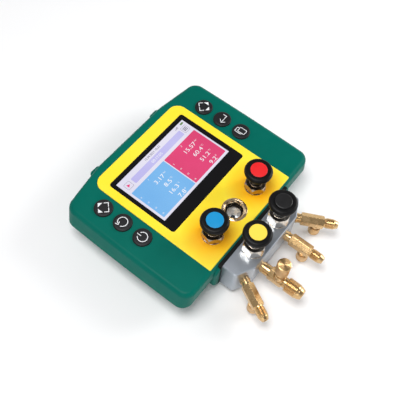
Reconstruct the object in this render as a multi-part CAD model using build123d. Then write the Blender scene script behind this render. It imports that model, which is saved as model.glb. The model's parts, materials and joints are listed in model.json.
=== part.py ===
from build123d import *
import math
import os

# Digital refrigerant manifold gauge: two-part housing with a colour display,
# a four-valve aluminium manifold at its lower edge and four brass hose ports.
# Millimetres. X = to the right, Y = towards the top edge, Z = out of the face.
# Origin: on the flat back, under the middle of the housing's outline.

# ---------------------------------------------------------------- dimensions
# housing
HW = 108.0            # half width at the corners
HW_MID = 108.9        # half width at mid height (sides bow out slightly)
Y_BOT, Y_TOP = -83.5, 82.3
X_FLAT = 50.0         # the top edge is level up to here, then slopes
SLOPE = 8.4           # slope of the outer stretches of the top edge, degrees
R_CT, R_CB = 13.0, 12.0   # corner radii, top and bottom
Z_FACE = 49.2         # green face
Z_PART = 27.0         # parting plane of the two shells
Z_PAN = 16.0          # bottom of the tapered rear pan
PAN_TAPER = 40.0
WALL = 3.0
R_EDGE = 5.2          # rounding of the face's outer edge
DX_FACE, DX_PART = 3.7, -1.4   # the long sides lean in towards the face: offset there and at the parting plane
Z_SKIN = 45.5         # inner side of the face wall

# rear hump (battery bay), its back is the rest face Z = 0
HUMP_HW, HUMP_Y0, HUMP_Y1, HUMP_R = 62.0, -80.0, 40.0, 10.0
# collar around the manifold block
COL_HW, COL_Y, COL_Z0, COL_Z1, COL_R = 65.0, -86.4, 1.5, 43.0, 13.0
# hook lugs
LUG_X, LUG_W, LUG_Y, LUG_Z0, LUG_Z1 = 48.4, 15.6, 89.6, 7.0, 35.0

# face plate
FP_HW, FP_Y0, FP_Y1, FP_R, FP_RB = 67.8, -80.9, 71.2, 12.0, 1.2
Z_PLATE, T_PLATE = 50.0, 2.5
# cover glass and display
CG_W, CG_Y0, CG_Y1, CG_R, T_GLASS = 117.5, -28.4, 56.8, 3.0, 1.5
AA_W, AA_H, AA_Y = 108.0, 64.8, 19.4      # 5-inch active area
FRAME_T = 0.8

# buttons
BTN_X, BTN_Y, BTN_R = 81.9, (43.1, 17.6, -7.9), 9.85
BTN_TOP, BTN_GAP, BTN_TRAVEL = 51.3, 0.08, 1.0

# valves: x, y, seat height of the bonnet's hexagon
VALVES = {
    "blue": (-35.95, -59.5, 50.0),
    "red": (35.95, -59.5, 50.0),
    "yellow": (-21.3, -98.9, 46.5),
    "black": (21.3, -98.9, 46.5),
}
HEX_AF = 21.0
HEX_TURN = 18.0       # angle of the hexagons' corners about the stem, degrees
BONNET_TOP = {50.0: 59.8, 46.5: 61.4}
R_SHANK = 8.0
R_STEM, STEM_GAP = 4.0, 0.05
KNOB_H, KNOB_R, WAIST_R = 22.1, 14.4, 6.8
DISC_R = 8.6

# manifold block
BL_HW, BL_Z0, BL_Z1 = 55.3, 6.0, 46.5
BL_YS, BL_YF, BL_XF = -102.7, -112.6, 36.0    # shoulder, front, front half width
BL_YIN, BL_Z0IN, BL_Z1IN = -45.0, 8.0, 44.0
BL_YSTEP = -80.4

# hose ports: x, y on the block face, turn about Z
Z_PORT = 26.0
PORT_L = (-45.0, -108.0, -27.5)
PORT_T = (-22.0, -112.6, 0.0)
PORT_C = (22.0, -112.6, 0.0)
PORT_R = (45.0, -108.0, 27.5)
R_FLARE4, R_FLARE6 = 5.55, 7.94     # 1/4 in and 3/8 in flare thread, major radius
R_IN = 5.0            # depth of the ports' threads in the block

# sight glass
SG_Y, SG_R, SG_BORE, SG_SHANK = -59.5, 13.4, 9.1, 10.8

# hanging hook
HK_R, HK_Y, HK_Z, HK_X, HK_LEN = 2.0, 79.6, 12.5, 29.0, 34.0

C0 = (Align.CENTER, Align.CENTER, Align.MIN)


# ------------------------------------------------------------------- helpers
def cyl(r, z0, z1, x=0.0, y=0.0):
    return Pos(x, y, z0) * Cylinder(r, z1 - z0, align=C0)


def box(x0, x1, y0, y1, z0, z1):
    return Pos(x0, y0, z0) * Box(x1 - x0, y1 - y0, z1 - z0,
                                 align=(Align.MIN, Align.MIN, Align.MIN))


def cone(r0, r1, z0, z1, x=0.0, y=0.0):
    return Pos(x, y, z0) * Cone(r0, r1, z1 - z0, align=C0)


def rrect(x0, x1, y0, y1, rs):
    """Rectangle face with corner radii rs = (bottom left, bottom right, top right, top left)."""
    pts = [(x0, y0), (x1, y0), (x1, y1), (x0, y1)]
    face = make_face(Polyline(*pts, close=True))
    for p, r in zip(pts, rs):
        if r > 0:
            v = face.vertices().sort_by_distance((p[0], p[1], 0))[0]
            face = fillet(v, r)
            face = face if isinstance(face, (Sketch, Face)) else Sketch(face)
    return face


def slab(face, z0, z1):
    return Pos(0, 0, z0) * extrude(face, amount=z1 - z0)


def lean(z):
    """How far the long sides have come in at height z."""
    return DX_PART + (DX_FACE - DX_PART) * (z - Z_PART) / (Z_FACE - Z_PART)


def outline(off=0.0, dx=DX_PART):
    """Housing outline, drawn inwards by off, its long sides by a further dx."""
    sl = math.radians(SLOPE)
    hw, hm, yb, yt = HW - off - dx, HW_MID - off - dx, Y_BOT + off, Y_TOP - off
    xf = X_FLAT - off * math.tan(sl / 2)
    yc = yt - (hw - xf) * math.tan(sl)
    pts = [(-hw, yb), (hw, yb), (hw, yc), (xf, yt), (-xf, yt), (-hw, yc)]
    ym = (yb + yc) / 2
    e = [
        Line(pts[0], pts[1]),
        ThreePointArc(pts[1], (hm, ym), pts[2]),
        Line(pts[2], pts[3]),
        Line(pts[3], pts[4]),
        Line(pts[4], pts[5]),
        ThreePointArc(pts[5], (-hm, ym), pts[0]),
    ]
    f = make_face(Curve() + e)
    for p, r in ((pts[0], R_CB - off), (pts[1], R_CB - off), (pts[2], R_CT - off), (pts[5], R_CT - off),
                 (pts[3], 60.0 - off), (pts[4], 60.0 - off)):
        f = fillet(f.vertices().sort_by_distance((p[0], p[1], 0))[0], r)
    return f


def pan_solid(off, z1):
    """Tapered pan below the parting plane, its walls drawn inwards by off."""
    d = (Z_PART - z1) * math.tan(math.radians(PAN_TAPER))
    return loft([Pos(0, 0, Z_PART) * outline(off), Pos(0, 0, z1) * outline(off + d)], ruled=True)


def leaning(off, z0, z1):
    """Solid between z0 and z1 whose long sides follow the housing's draft, drawn inwards by off."""
    return loft([Pos(0, 0, z0) * outline(off, lean(z0)), Pos(0, 0, z1) * outline(off, lean(z1))], ruled=True)


def write(name, shape):
    solids = shape.solids()
    out = solids[0] if len(solids) == 1 else Compound(children=list(solids))
    export_step(out, f"parts/{name}.step")


def along_y(shape):
    """Turns a shape built along +Z to point along -Y."""
    return Rot(90, 0, 0) * shape


# ------------------------------------------------------------------- housing
body = leaning(0.0, Z_PART, Z_FACE)
top_edges = body.faces().sort_by(Axis.Z)[-1].edges()
body = fillet(top_edges, R_EDGE)
pan = pan_solid(0, Z_PAN)
hump = slab(rrect(-HUMP_HW, HUMP_HW, HUMP_Y0, HUMP_Y1, (HUMP_R,) * 4), 0, Z_PAN + 1)
hump = fillet(hump.faces().sort_by(Axis.Z)[0].edges(), 5.0)
col = Pos(0, COL_Y, 0) * extrude(
    Plane.XZ * rrect(-COL_HW, COL_HW, COL_Z0, COL_Z1, (COL_R, COL_R, 9, 9)), amount=-14)
col = fillet(col.faces().sort_by(Axis.Y)[0].edges(), 3.2)
outer = body + pan + hump + col
for sx in (-1, 1):
    lug = box(sx * LUG_X - LUG_W / 2, sx * LUG_X + LUG_W / 2, 64, LUG_Y, LUG_Z0, LUG_Z1)
    lug = fillet(lug.edges().filter_by(Axis.Z).sort_by(Axis.Y)[-2:], 4.5)
    lug = fillet(lug.faces().sort_by(Axis.Z)[-1].edges().sort_by(Axis.Y)[1:]
                 + lug.faces().sort_by(Axis.Z)[0].edges(), 2.0)
    outer += lug

cav = leaning(WALL, Z_PART, Z_FACE - R_EDGE - 1)
cav += leaning(WALL + 2.6, Z_FACE - R_EDGE - 2, Z_SKIN)
cav += pan_solid(WALL, Z_PAN + WALL)
cav += box(-58, 58, -75, 36, 3, 22)
shell = outer - cav

# gasketed opening for the manifold block
OP_HW, OP_Z0, OP_Z1 = 57.5, 4.2, 47.2
shell -= box(-OP_HW, OP_HW, -95, -74.5, OP_Z0, OP_Z1)

# seat and windows for the face plate
plate_face = rrect(-FP_HW, FP_HW, FP_Y0, FP_Y1, (FP_RB, FP_RB, FP_R, FP_R))
seat_face = rrect(-FP_HW - 0.1, FP_HW + 0.1, FP_Y0 - 0.1, FP_Y1 + 0.1, (FP_RB, FP_RB, FP_R, FP_R))
shell -= slab(seat_face, Z_PLATE - T_PLATE, Z_FACE + 5)
glass_face = rrect(-CG_W / 2, CG_W / 2, CG_Y0, CG_Y1, (CG_R,) * 4)
shell -= box(-AA_W / 2 - 1.5, AA_W / 2 + 1.5, AA_Y - AA_H / 2 - 1.5, AA_Y + AA_H / 2 + 1.5, Z_SKIN - 1, Z_FACE)
for x, y, z0 in VALVES.values():
    if z0 == 50.0:
        shell -= cyl(R_SHANK + 0.3, 40, 60, x, y)
shell -= cyl(SG_SHANK + 0.15, 40, 60, 0, SG_Y)

# button holes
for sx in (-1, 1):
    for y in BTN_Y:
        shell -= cyl(BTN_R + BTN_GAP, 40, 60, sx * BTN_X, y)

# screw bosses: front with pilot holes, rear with counterbores
SCREWS = [(-90, -66), (90, -66), (-88, 61), (88, 61), (-72, -32), (72, -32)]
for x, y in SCREWS:
    shell += cyl(4.0, Z_PART, Z_SKIN, x, y) + cyl(5.0, Z_PAN + 0.5, Z_PART, x, y)
    shell -= cyl(1.5, Z_PART, Z_SKIN - 2.5, x, y)
    shell -= cyl(1.65, Z_PAN - 1, Z_PART, x, y)
    shell -= cyl(3.2, Z_PAN - 1, 20, x, y)
# posts that carry the circuit board
POSTS = [(-64, 62), (64, 62), (-64, -14), (64, -14)]
for x, y in POSTS:
    shell += cyl(2.8, 37.6, Z_SKIN, x, y)

# battery bay
BAY = (-51.2, 51.2, -31.0, 15.0)
shell -= box(*BAY, -1, 5)
shell -= slab(rrect(-56, 56, -35.2, 22.2, (4,) * 4), -1, 2.0)
CSCR = [(-40, 18.6), (40, 18.6)]
for x, y in CSCR:
    shell += cyl(3.6, 2.0, 10, x, y)
    shell -= cyl(1.25, 1, 9, x, y)
# pads and holes for the block's screws
BSCR = [(-44, -52), (44, -52), (-14, -50), (14, -50)]
for x, y in BSCR:
    shell += cyl(6.0, 2.5, BL_Z0IN, x, y)
    shell -= cyl(2.15, -1, 12, x, y)
    shell -= cyl(4.0, -1, 4.4, x, y)
# bores for the hook's ends
for sx in (-1, 1):
    shell -= Pos(sx * 40.3, HK_Y, HK_Z) * Rot(0, 90, 0) * Cylinder(HK_R + 0.05, 9.8)

big = box(-200, 200, -200, 200, Z_PART, 100)
front_shell = shell & big
rear_shell = shell - big
# groove and cord seal between the shells
seal_o, seal_i = outline(0.9), outline(2.2)
ring = slab(seal_o, Z_PART - 1.4, Z_PART) - slab(seal_i, Z_PART - 1.5, Z_PART + 1)
ring -= box(-COL_HW - 6, COL_HW + 6, -90, -70, 0, 60)
ring -= box(-64, -32, 70, 90, 0, 60) + box(32, 64, 70, 90, 0, 60)
rear_shell -= ring
write("front_shell", front_shell)
write("rear_shell", rear_shell)
write("shell_seal", ring)

screws = []
for x, y in SCREWS:
    s = cyl(2.9, 17.4, 20.0, x, y) + cyl(1.5, 19.9, 40, x, y)
    s -= slab(Pos(x, y) * RegularPolygon(1.3, 6), 17.0, 18.8)
    screws.append(s)
write("housing_screws", Compound(children=screws))

# ---------------------------------------------------------- face and display
plate = slab(plate_face, Z_PLATE - T_PLATE, Z_PLATE)
plate = fillet(plate.faces().sort_by(Axis.Z)[-1].edges(), 0.7)
plate -= slab(rrect(-CG_W / 2 - 0.1, CG_W / 2 + 0.1, CG_Y0 - 0.1, CG_Y1 + 0.1, (CG_R,) * 4), 40, 60)
for x, y, z0 in VALVES.values():
    if z0 == 50.0:
        plate -= cyl(R_SHANK + 0.1, 40, 60, x, y)
plate -= cyl(SG_SHANK + 0.1, 40, 60, 0, SG_Y)
write("face_plate", plate)

Z_GLASS = Z_PLATE - 0.1
glass = slab(glass_face, Z_GLASS - T_GLASS, Z_GLASS)
write("cover_glass", chamfer(glass.faces().sort_by(Axis.Z)[-1].edges(), 0.25))
frame = slab(glass_face, Z_PLATE - T_PLATE, Z_GLASS - T_GLASS)
frame -= box(-AA_W / 2, AA_W / 2, AA_Y - AA_H / 2, AA_Y + AA_H / 2, 40, 60)
write("lcd_frame", frame)
lcd = box(-AA_W / 2 + 0.05, AA_W / 2 - 0.05, AA_Y - AA_H / 2 + 0.05, AA_Y + AA_H / 2 - 0.05,
          44.6, Z_GLASS - T_GLASS - 0.1)
write("lcd_panel", lcd)

board = box(-96, 96, -20, 68, 36.0, 37.6)
for x, y in SCREWS:
    if y > -20:
        board -= cyl(4.6, 30, 40, x, y)
write("main_board", board)

# ------------------------------------------------------------------- battery
holder = box(-52.5, 52.5, -32.5, 16.5, 3.05, 19.6) - box(-51.1, 51.1, -31.0, 15.0, 2, 18.4)
for x, y in CSCR:
    holder -= cyl(3.8, 2, 11, x, y)
write("battery_holder", holder)
cells = []
for cx in (-25.4, 25.4):
    for cy in (-22.9, -8.0, 6.9):
        c = Pos(cx, cy, 10.8) * Rot(0, 90, 0) * (Cylinder(7.2, 48.8))
        c += Pos(cx + 24.4, cy, 10.8) * Rot(0, 90, 0) * Cylinder(2.75, 1.6)
        cells.append(c)
write("batteries", Compound(children=cells))
cover = slab(rrect(-55.7, 55.7, -34.9, 21.9, (3.8,) * 4), 0.0, 1.95)
for i in range(5):      # grip ribs
    cover -= box(-12, 12, -31 + 2.4 * i, -30 + 2.4 * i, -1, 0.6)
for x, y in CSCR:
    cover -= cyl(1.5, -1, 3, x, y) + cyl(2.9, -1, 0.9, x, y)
write("battery_cover", cover)
cs = []
for x, y in CSCR:
    s = cyl(2.6, 0.1, 0.9, x, y) + cyl(1.25, 0.9, 8.0, x, y)
    s -= box(x - 2, x + 2, y - 0.35, y + 0.35, -1, 0.5)
    cs.append(s)
write("battery_cover_screws", Compound(children=cs))

# ------------------------------------------------------------------- buttons
BTN_NAMES = {
    (-1, 0): "button_left_frame", (-1, 1): "button_back", (-1, 2): "button_power",
    (1, 0): "button_right_frame", (1, 1): "button_enter", (1, 2): "button_pages",
}
for (sx, i), nm in BTN_NAMES.items():
    x, y = sx * BTN_X, BTN_Y[i]
    b = cyl(BTN_R, 44.0, BTN_TOP, x, y)
    b = fillet(b.faces().sort_by(Axis.Z)[-1].edges(), 1.5)
    b += cyl(BTN_R + 1.4, 43.9, Z_SKIN - 0.06, x, y)
    b += cyl(2.2, 38.8, 44.0, x, y)
    write(nm, b)

# ------------------------------------------------------------ manifold block
prof = make_face(Polyline(
    (-BL_HW, BL_YSTEP), (-BL_HW, BL_YS), (-BL_XF, BL_YF), (BL_XF, BL_YF), (BL_HW, BL_YS),
    (BL_HW, BL_YSTEP), close=True))
block = slab(prof, BL_Z0, BL_Z1)
vert = block.edges().filter_by(Axis.Z)
block = fillet([e for e in vert if e.center().Y < -101 and abs(e.center().X) > 50], 5.0)
vert = block.edges().filter_by(Axis.Z)
block = fillet([e for e in vert if abs(abs(e.center().X) - BL_XF) < 0.5 and e.center().Y < -110], 6.0)
rim = [e for f in (block.faces().sort_by(Axis.Z)[-1], block.faces().sort_by(Axis.Z)[0])
       for e in f.edges() if e.center().Y < BL_YSTEP - 0.5 and not
       (abs(e.center().X) < 1 and e.center().Y > BL_YSTEP - 1)]
block = chamfer(rim, 0.9)
block += box(-BL_HW, BL_HW, BL_YSTEP - 3, BL_YIN, BL_Z0IN, BL_Z1IN)
for x, y, z0 in VALVES.values():
    block -= cyl(R_SHANK, 30, 60, x, y) + cyl(6.6, 24, 31, x, y) + cyl(2.2, 18, 25, x, y)
    if z0 < 50:
        block -= Pos(x, y + 39.4 / 2, 21) * Rot(90, 0, 0) * Cylinder(2.2, 39.4)
block -= Pos(0, SG_Y, 21) * Rot(0, 90, 0) * Cylinder(2.2, 71.9)
block -= cyl(SG_SHANK, 34, 60, 0, SG_Y) + cyl(2.2, 20, 35, 0, SG_Y)
for (x, y, a) in (PORT_L, PORT_T, PORT_C, PORT_R):
    hole = cyl(5.0, -1.5, R_IN + 0.1) + cyl(2.2, 0, 14)
    block -= Pos(x, y, Z_PORT) * Rot(0, 0, a) * Rot(-90, 0, 0) * hole
for sx in (-1, 1):      # from the outer ports up to the outer valves
    block -= Pos(sx * 38.0, -79.0, Z_PORT) * Rot(90, 0, 0) * Cylinder(2.2, 35)
for x, y in BSCR:
    block -= cyl(2.0, 6, 22, x, y)
write("manifold_block", block)

gasket = box(-OP_HW + 0.02, OP_HW - 0.02, COL_Y, BL_YSTEP - 0.02, OP_Z0 + 0.02, OP_Z1 - 0.02)
gasket -= box(-BL_HW, BL_HW, -100, 0, BL_Z0, BL_Z1)
write("block_gasket", gasket)

bs = []
for x, y in BSCR:
    s = cyl(3.5, 0.4, 4.4, x, y) + cyl(2.0, 4.3, 20, x, y)
    s -= slab(Pos(x, y) * RegularPolygon(1.73, 6), 0.0, 2.6)
    bs.append(s)
write("block_screws", Compound(children=bs))

# --------------------------------------------------------------- sight glass
bez = cyl(SG_SHANK, 34.0, 50.0, 0, SG_Y) + cyl(SG_R, 50.0, 51.3, 0, SG_Y)
bez = chamfer(bez.faces().sort_by(Axis.Z)[-1].edges(), 0.8)
bez -= cyl(SG_BORE, 33, 60, 0, SG_Y)
bez -= cone(SG_BORE, SG_BORE + 1.6, 49.7, 51.3, 0, SG_Y)
write("sight_bezel", bez)
write("sight_lens", cyl(SG_BORE - 0.05, 40.5, 43.3, 0, SG_Y))
oring = Pos(0, SG_Y, 43.3 + 0.95) * Torus(SG_BORE - 1.0, 0.9)
write("sight_oring", oring)
cup = cyl(SG_BORE - 0.05, 34.0, 40.45, 0, SG_Y) - cone(2.2, 8.2, 35.2, 40.45, 0, SG_Y) \
    - cyl(2.2, 33, 36, 0, SG_Y)
write("sight_reflector", cup)

# -------------------------------------------------------------------- valves
for nm, (x, y, z0) in VALVES.items():
    zt = BONNET_TOP[z0]
    L = Pos(x, y, 0)
    ac = HEX_AF / math.sqrt(3)
    hexa = slab(Rot(0, 0, HEX_TURN) * RegularPolygon(ac, 6), z0, zt)
    dome = cyl(ac, z0, zt)
    dome = chamfer(dome.faces().sort_by(Axis.Z)[-1].edges(), length=1.2, length2=2.0)
    bon = (hexa & dome) + cyl(HEX_AF / 2 + 0.7, z0, z0 + 1.0) + cyl(R_SHANK, 30, z0 + 0.5)
    bon += cyl(6.9, zt - 0.01, zt + 0.35)
    bon -= cyl(R_STEM + STEM_GAP, 29, 70)
    bon -= cyl(6.0, 29, 42) & box(-10, 10, -5.05, 5.05, 29, 42)
    write(f"bonnet_{nm}", L * bon)
    pis = cyl(5.95, 24.1, 38.0) & box(-10, 10, -5.0, 5.0, 20, 40)
    pis = pis - cyl(3.2, 30.0, 39.0)
    pis = chamfer(pis.faces().sort_by(Axis.Z)[0].edges().filter_by(GeomType.CIRCLE), 0.8)
    write(f"piston_{nm}", L * pis)
    kb = zt + 0.7                      # underside of the knob, valve closed
    sp = cyl(3.15, 30.6, 38.2) + cyl(R_STEM, 38.15, kb + 16)
    write(f"spindle_{nm}", L * sp)
    # knob: narrow skirt, wide rounded head
    p = [(0, 0), (WAIST_R, 0), (WAIST_R, 12.2), (9.0, 14.2), (12.9, 15.9), (KNOB_R, 17.4),
         (KNOB_R, 19.6), (13.2, 21.5), (11.8, KNOB_H), (0, KNOB_H)]
    f = make_face(Plane.XZ * Polyline(*p, close=True))
    kn = revolve(f, Axis.Z)
    kn -= cyl(DISC_R + 0.05, KNOB_H - 1.0, KNOB_H + 1) + cyl(R_STEM, -1, 16)
    write(f"knob_{nm}", L * Pos(0, 0, kb) * kn)
    up = 0.9 if nm == "black" else 0.15
    disc = cyl(DISC_R, KNOB_H - 1.0, KNOB_H + up)
    disc = fillet(disc.faces().sort_by(Axis.Z)[-1].edges(), 0.35 if nm == "black" else 0.12)
    write(f"knob_disc_{nm}", L * Pos(0, 0, kb) * disc)


# --------------------------------------------------------------- brass ports
def hexbar(af, t0, t1, ch):
    """Hexagon bar along +Z, one corner towards +Y, with turned ends."""
    r = af / math.sqrt(3)
    c = chamfer(cyl(r, t0, t1).edges(), ch)
    return slab(Rot(0, 0, 30) * RegularPolygon(r, 6), t0, t1) & c


def straight_port():
    b = cyl(5.0, -R_IN, 7.2) + hexbar(12.0, 6.6, 31.0, 0.8)
    b += cyl(4.9, 30.5, 32.6) + cyl(R_FLARE4, 32.4, 41.9)
    b += cyl(4.75, 41.8, 43.0) + cone(4.75, 3.5, 43.0, 46.0)
    b = along_y(b)
    # service stub, pointing to the back
    b += cyl(5.4, Z_STUB[1], Z_STUB[0], 0, -T_STUB) + cyl(5.0, Z_STUB[2], Z_STUB[1], 0, -T_STUB)
    b -= along_y(cyl(2.2, -12, 50))
    b -= cyl(1.8, -30, 0, 0, -T_STUB)
    return b


T_STUB = 24.3                       # stub axis, from the block's face
Z_STUB = (-4.0, -8.8, -18.6)        # from the port's axis
T_TEE = 21.5


def tee_port():
    b = cyl(5.0, -R_IN, 2.0) + cyl(6.0, 1.4, 11.0) + hexbar(13.0, 10.8, 27.6, 0.8)
    b += cyl(5.6, 27.0, 31.2) + cyl(R_FLARE6, 31.0, 44.3)
    b += cyl(6.9, 44.2, 46.2) + cone(6.9, 5.2, 46.2, 50.3)
    b = along_y(b)
    b += cyl(5.9, 3.0, 11.0, 0, -T_TEE) + cyl(4.6, 10.9, 17.5, 0, -T_TEE)
    b += cyl(5.4, 17.4, 32.0, 0, -T_TEE)
    b -= along_y(cyl(2.2, -12, 28)) + along_y(cyl(2.8, 28, 60))
    b -= cyl(2.2, 0, 40, 0, -T_TEE)
    return b


def put(p, shape):
    return Pos(p[0], p[1], Z_PORT) * Rot(0, 0, p[2]) * shape


CAP_GAP = 0.06
for nm, p in (("left", PORT_L), ("centre", PORT_C), ("right", PORT_R)):
    write(f"port_{nm}", put(p, straight_port()))
    cap = cyl(6.25, -22.0, -9.4, 0, -T_STUB)
    cap = chamfer(cap.faces().sort_by(Axis.Z)[0].edges(), 1.3)
    cap = chamfer(cap.faces().sort_by(Axis.Z)[-1].edges(), 0.4)
    cap -= cyl(5.0 + CAP_GAP, -20.0, -9.0, 0, -T_STUB)
    write(f"port_cap_{nm}", put(p, cap))
    write(f"cap_seal_{nm}", put(p, cyl(4.9, -19.95, -18.65, 0, -T_STUB)))
write("port_tee", put(PORT_T, tee_port()))
cap = cyl(7.1, 17.6, 35.0, 0, -T_TEE)
cap = chamfer(cap.faces().sort_by(Axis.Z)[-1].edges(), 0.8)
cap = chamfer(cap.faces().sort_by(Axis.Z)[0].edges(), 0.4)
cap -= cyl(5.4 + CAP_GAP, 17.0, 33.4, 0, -T_TEE)
write("port_cap_tee", put(PORT_T, cap))
write("cap_seal_tee", put(PORT_T, cyl(5.3, 32.05, 33.35, 0, -T_TEE)))

# -------------------------------------------------------------- hanging hook
e, xl = 44.9, HK_X
path = FilletPolyline((e, HK_Y), (xl, HK_Y), (xl, HK_Y - HK_LEN), (8, HK_Y - HK_LEN), (0, HK_Y - HK_LEN - 0.001 + 5.0),
                      (-8, HK_Y - HK_LEN), (-xl, HK_Y - HK_LEN), (-xl, HK_Y), (-e, HK_Y), radius=4.5)
path = Pos(0, 0, HK_Z) * path
prof = Plane(origin=(e, HK_Y, HK_Z), z_dir=(-1, 0, 0)) * Circle(HK_R)
hook = sweep(prof, path=path)
write("hanging_hook", hook)
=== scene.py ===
import json
import math

import bmesh
import bpy
from mathutils import Matrix, Vector


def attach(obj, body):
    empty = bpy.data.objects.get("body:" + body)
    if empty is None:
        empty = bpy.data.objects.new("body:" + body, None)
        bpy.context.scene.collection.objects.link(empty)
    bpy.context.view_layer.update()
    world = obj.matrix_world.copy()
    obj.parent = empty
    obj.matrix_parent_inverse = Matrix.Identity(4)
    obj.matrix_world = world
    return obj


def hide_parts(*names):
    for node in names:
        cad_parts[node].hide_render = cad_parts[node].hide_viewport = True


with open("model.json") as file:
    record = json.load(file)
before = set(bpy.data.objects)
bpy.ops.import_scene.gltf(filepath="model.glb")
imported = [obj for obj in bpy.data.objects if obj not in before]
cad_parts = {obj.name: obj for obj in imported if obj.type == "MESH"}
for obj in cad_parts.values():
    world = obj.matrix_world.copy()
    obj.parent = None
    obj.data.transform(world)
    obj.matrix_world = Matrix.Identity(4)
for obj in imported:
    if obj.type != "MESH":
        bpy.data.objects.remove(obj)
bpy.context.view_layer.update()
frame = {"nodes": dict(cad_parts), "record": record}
NODES = frame["nodes"]
K = 0.001                      # builders below work in millimetres

# ------------------------------------------------------------------ dimensions
VALVES = {"blue": (-35.95, -59.5, 50.0), "red": (35.95, -59.5, 50.0),
          "yellow": (-21.3, -98.9, 46.5), "black": (21.3, -98.9, 46.5)}
BONNET_TOP = {50.0: 59.8, 46.5: 61.4}
PORTS = {"left": (-45.0, -108.0, -27.5), "tee": (-22.0, -112.6, 0.0),
         "centre": (22.0, -112.6, 0.0), "right": (45.0, -108.0, 27.5)}
Z_PORT, T_STUB, T_TEE = 26.0, 24.3, 21.5
BUTTONS = {"button_left_frame": (-81.9, 43.1), "button_back": (-81.9, 17.6), "button_power": (-81.9, -7.9),
           "button_right_frame": (81.9, 43.1), "button_enter": (81.9, 17.6), "button_pages": (81.9, -7.9)}


# -------------------------------------------------------------------- builders
class Build:
    """Collects closed surfaces in millimetres and turns them into one piece."""

    def __init__(self):
        self.v, self.f, self.m = [], [], []

    def add(self, verts, faces, M=None, mat=0):
        n = len(self.v)
        self.v += [(M @ Vector(p)) if M is not None else Vector(p) for p in verts]
        self.f += [[i + n for i in f] for f in faces]
        self.m += [mat] * len(faces)
        return self

    def make(self, name, mats, sharp=32, flat=False):
        me = bpy.data.meshes.new(name)
        me.from_pydata([tuple(p * K) for p in self.v], [], self.f)
        for m in mats:
            me.materials.append(m)
        me.polygons.foreach_set("material_index", self.m)
        bm = bmesh.new()
        bm.from_mesh(me)
        bmesh.ops.remove_doubles(bm, verts=bm.verts, dist=2e-6)
        bmesh.ops.dissolve_degenerate(bm, edges=bm.edges, dist=1e-7)
        bmesh.ops.recalc_face_normals(bm, faces=bm.faces)
        bm.to_mesh(me)
        bm.free()
        if not flat:
            me.shade_smooth()
            me.set_sharp_from_angle(angle=math.radians(sharp))
        o = bpy.data.objects.new(name, me)
        bpy.context.scene.collection.objects.link(o)
        return o


def soften(pts, r=0.3, n=4, closed=False, keep=()):
    """Rounds the corners of a profile by r, except those in keep."""
    out, N = [], len(pts)
    for i, p in enumerate(pts):
        if (not closed and i in (0, N - 1)) or i in keep:
            out.append(p)
            continue
        a, b = Vector(pts[i - 1]), Vector(pts[(i + 1) % N])
        c = Vector(p)
        la, lb = (a - c).length, (b - c).length
        ri = r[i] if isinstance(r, (list, tuple)) else r
        if min(la, lb) < 1e-6 or ri <= 0:
            out.append(p)
            continue
        t = min(ri, 0.48 * la, 0.48 * lb)
        s, e = c + (a - c) * (t / la), c + (b - c) * (t / lb)
        for k in range(n + 1):
            u = k / n
            q = s * (1 - u) ** 2 + c * 2 * u * (1 - u) + e * u * u
            out.append((q.x, q.y))
    return out


def lathe(prof, seg=96, closed=False, wave=None):
    """Turns a profile of (radius, z) about Z. wave(i, angle, r, z) may change a radius."""
    verts, faces, rows = [], [], []
    for i, (r, z) in enumerate(prof):
        if r < 1e-6:
            rows.append([len(verts)])
            verts.append((0, 0, z))
            continue
        row = []
        for j in range(seg):
            a = 2 * math.pi * j / seg
            rr = wave(i, a, r, z) if wave else r
            row.append(len(verts))
            verts.append((rr * math.cos(a), rr * math.sin(a), z))
        rows.append(row)
    pairs = list(zip(rows, rows[1:]))
    if closed:
        pairs.append((rows[-1], rows[0]))
    for A, B in pairs:
        for j in range(seg):
            k = (j + 1) % seg
            if len(A) == 1 and len(B) == 1:
                break
            if len(A) == 1:
                faces.append([A[0], B[j], B[k]])
            elif len(B) == 1:
                faces.append([A[j], A[k], B[0]])
            else:
                faces.append([A[j], A[k], B[k], B[j]])
    return verts, faces


def hex_radius(a, af, rho=0.35, turn=0.0):
    """Distance from the axis to a hexagon of width af whose corners are rounded by rho. A corner points to angle turn."""
    h = af / 2
    d = ((a - turn) / (math.pi / 3)) % 1.0          # 0 and 1 are corners
    phi = abs(d - 0.5) * math.pi / 3                # angle from the middle of the flat
    t_max = (h - rho) * math.tan(math.pi / 6)
    if h * math.tan(phi) <= t_max:
        return h / math.cos(phi)
    dc = (h - rho) / math.cos(math.pi / 6)
    dl = math.pi / 6 - phi
    return dc * math.cos(dl) + math.sqrt(max(0.0, rho * rho - (dc * math.sin(dl)) ** 2))


def hex_angles(af, rho, turn, flat=10, corner=5):
    h = af / 2
    phi_t = math.atan((h - rho) * math.tan(math.pi / 6) / h)
    out = []
    for s in range(6):
        c = turn + s * math.pi / 3
        d = math.pi / 6 - phi_t
        for k in range(corner):
            out.append(c - d + 2 * d * k / corner)
        for k in range(flat):
            out.append(c + d + (math.pi / 3 - 2 * d) * k / flat)
    return out


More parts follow.
